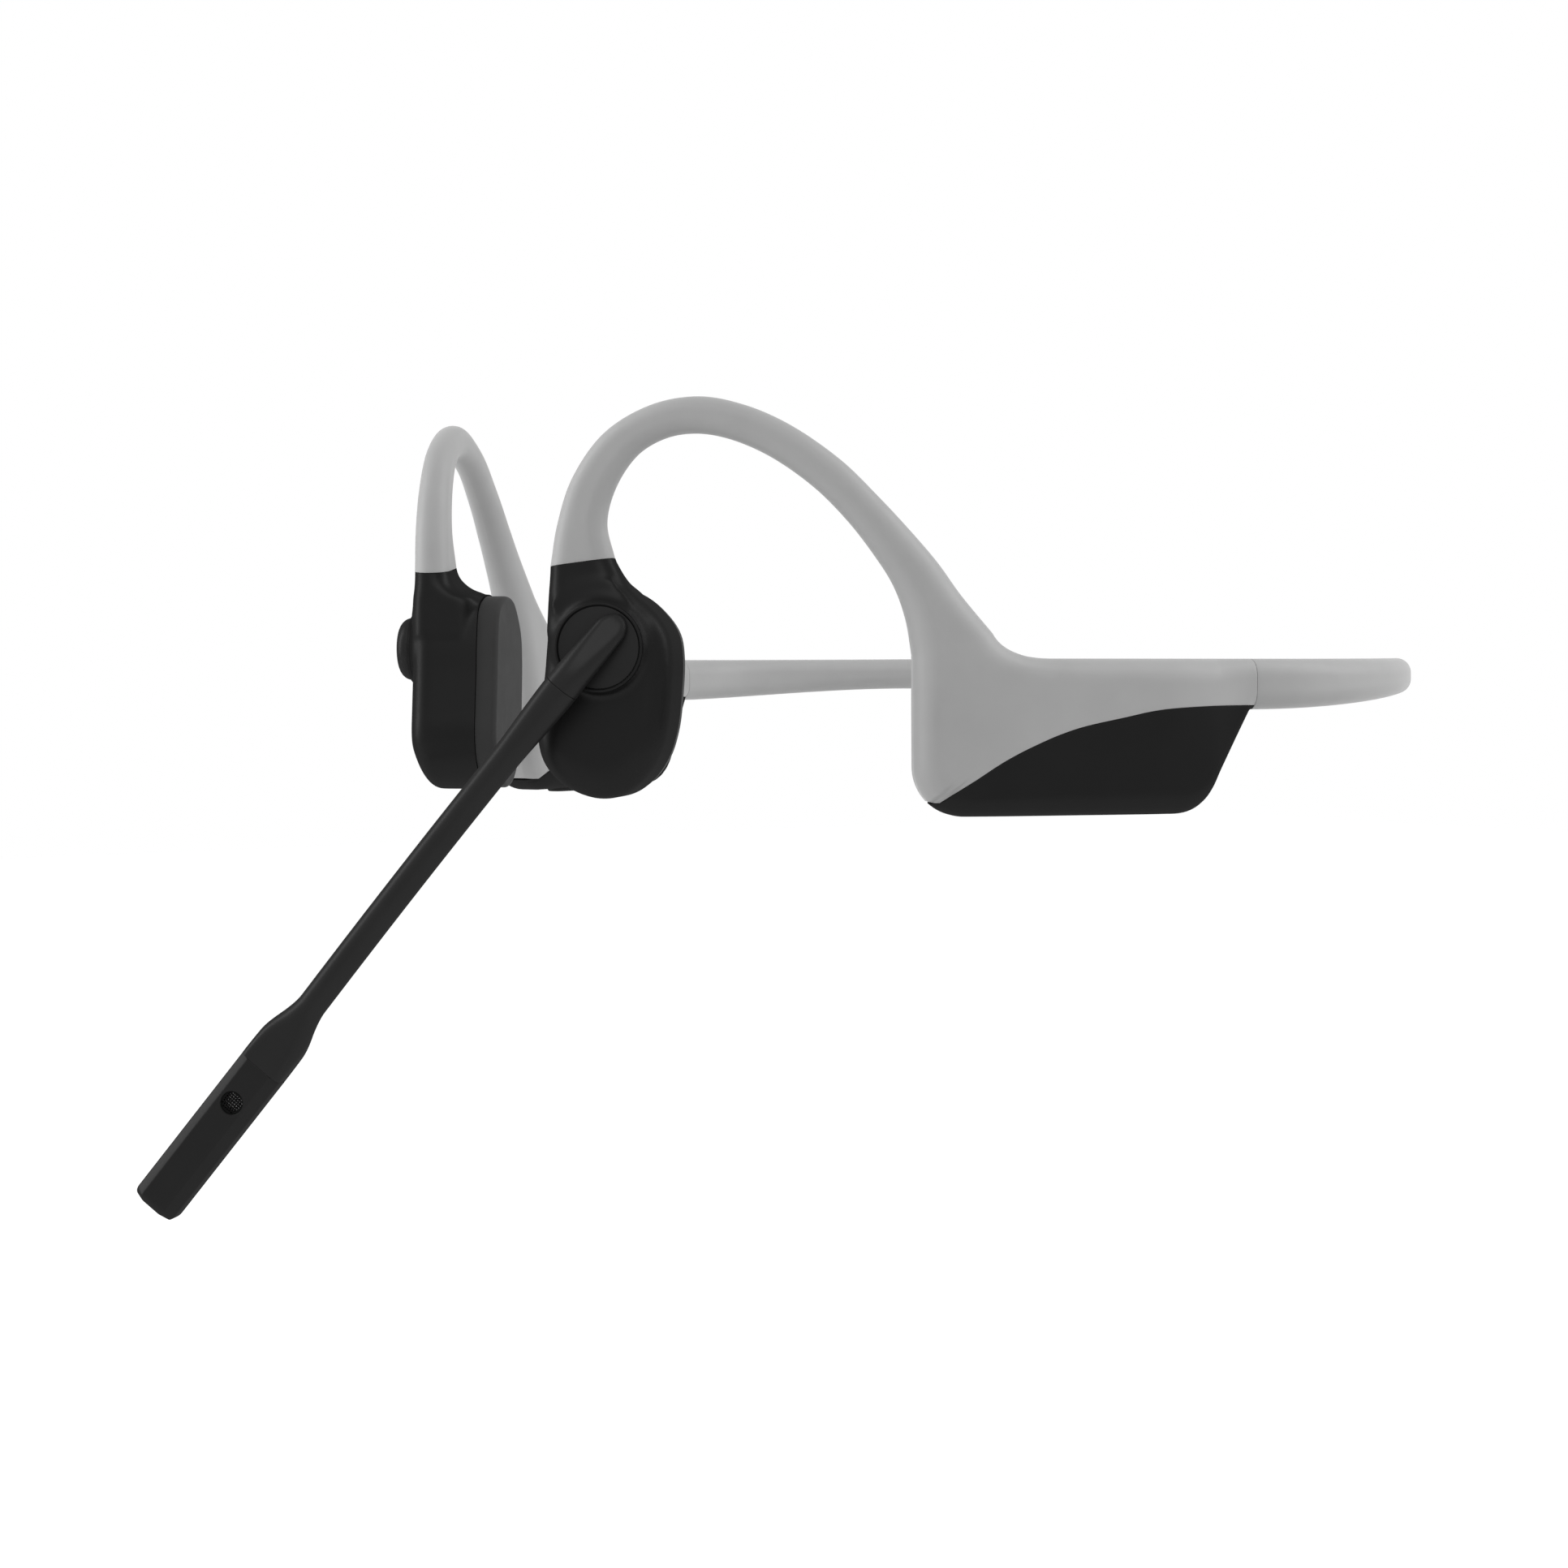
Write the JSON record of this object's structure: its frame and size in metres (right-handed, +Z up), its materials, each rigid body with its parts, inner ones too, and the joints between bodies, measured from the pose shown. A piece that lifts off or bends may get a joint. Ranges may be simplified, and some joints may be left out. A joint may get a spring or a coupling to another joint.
{
  "type": "bone conduction headphones",
  "caption": "Open-ear bone conduction headphones with ear hooks, a neckband and a swinging boom microphone.",
  "frame": {"origin": "on the midplane, level with the undersides of the two ear hooks where they rest on the ears", "axes": "+X towards the wearer's left, the boom's side; +Y towards the wearer's back; +Z up"},
  "size_m": [0.145, 0.1887, 0.1095],
  "materials": {
    "grey_silicone": "matte silicone skin",
    "black_shell": "soft satin",
    "dark_trim": "satin",
    "soft_pad": "matte",
    "spring_steel": "drawn",
    "copper": "enamelled copper",
    "gold": "gold plated",
    "magnet": "nickel plated",
    "board_green": "solder mask",
    "foil": "pressed can or foil",
    "clear_pipe": "clear"
  },
  "bodies": {
    "root": {"left_arm_sleeve": "grey_silicone", "right_arm_sleeve": "grey_silicone", "neckband_sleeve": "grey_silicone", "left_hook_wire": "spring_steel", "right_hook_wire": "spring_steel", "neckband_wire": "spring_steel", "neckband_lead": "dark_trim", "left_pod_shell": "black_shell", "right_pod_shell": "black_shell", "left_pod_pad": "soft_pad", "right_pod_pad": "soft_pad", "left_transducer_frame": "dark_trim", "right_transducer_frame": "dark_trim", "left_transducer_spring": "spring_steel", "right_transducer_spring": "spring_steel", "left_transducer_coil": "copper", "right_transducer_coil": "copper", "boom_friction_washer": "spring_steel", "function_button_seal": "soft_pad", "function_switch": "spring_steel", "function_switch_board": "board_green", "battery": "foil", "battery_board": "board_green", "antenna_coil": "copper", "battery_cover": "black_shell", "main_board": "board_green", "radio_can": "foil", "volume_up_switch": "spring_steel", "volume_down_switch": "spring_steel", "charging_contact_positive": "gold", "charging_contact_negative": "gold", "charging_magnet": "magnet", "led_light_pipe": "clear_pipe", "control_cover": "black_shell"},
    "boom": {"boom_hub": "dark_trim", "boom_retaining_clip": "spring_steel", "boom_pivot_pin": "spring_steel", "boom_stem": "dark_trim", "boom_core_wire": "copper", "mic_housing": "black_shell", "mic_board": "board_green", "mic_capsule": "foil", "mic_grille": "dark_trim"},
    "function_button": {"function_button": "dark_trim"},
    "volume_up": {"volume_up_button": "dark_trim"},
    "volume_down": {"volume_down_button": "dark_trim"},
    "left_magnet_mass": {"left_transducer_magnet": "magnet"},
    "right_magnet_mass": {"right_transducer_magnet": "magnet"}
  },
  "joints": [
    {"name": "boom_pivot", "type": "hinge", "parent": "root", "child": "boom", "pos_m": [0.02261, -0.00882, -0.028], "axis": [0.6947, -0.7193, 0], "range_deg": [-60, 120]},
    {"name": "function_button_press", "type": "slide", "parent": "root", "child": "function_button", "axis": [0.6947, 0.7193, 0], "range_m": [0, 0.0005], "stiffness_N_per_m": 1500},
    {"name": "volume_up_press", "type": "slide", "parent": "root", "child": "volume_up", "axis": [0, 0, 1], "range_m": [0, 0.00035], "stiffness_N_per_m": 1500},
    {"name": "volume_down_press", "type": "slide", "parent": "root", "child": "volume_down", "axis": [0, 0, 1], "range_m": [0, 0.00035], "stiffness_N_per_m": 1500},
    {"name": "left_magnet_travel", "type": "slide", "parent": "root", "child": "left_magnet_mass", "axis": [0.6947, -0.7193, 0], "range_m": [-0.0001, 0.0001], "stiffness_N_per_m": 4700},
    {"name": "right_magnet_travel", "type": "slide", "parent": "root", "child": "right_magnet_mass", "axis": [-0.6947, -0.7193, 0], "range_m": [-0.0001, 0.0001], "stiffness_N_per_m": 4700}
  ]
}
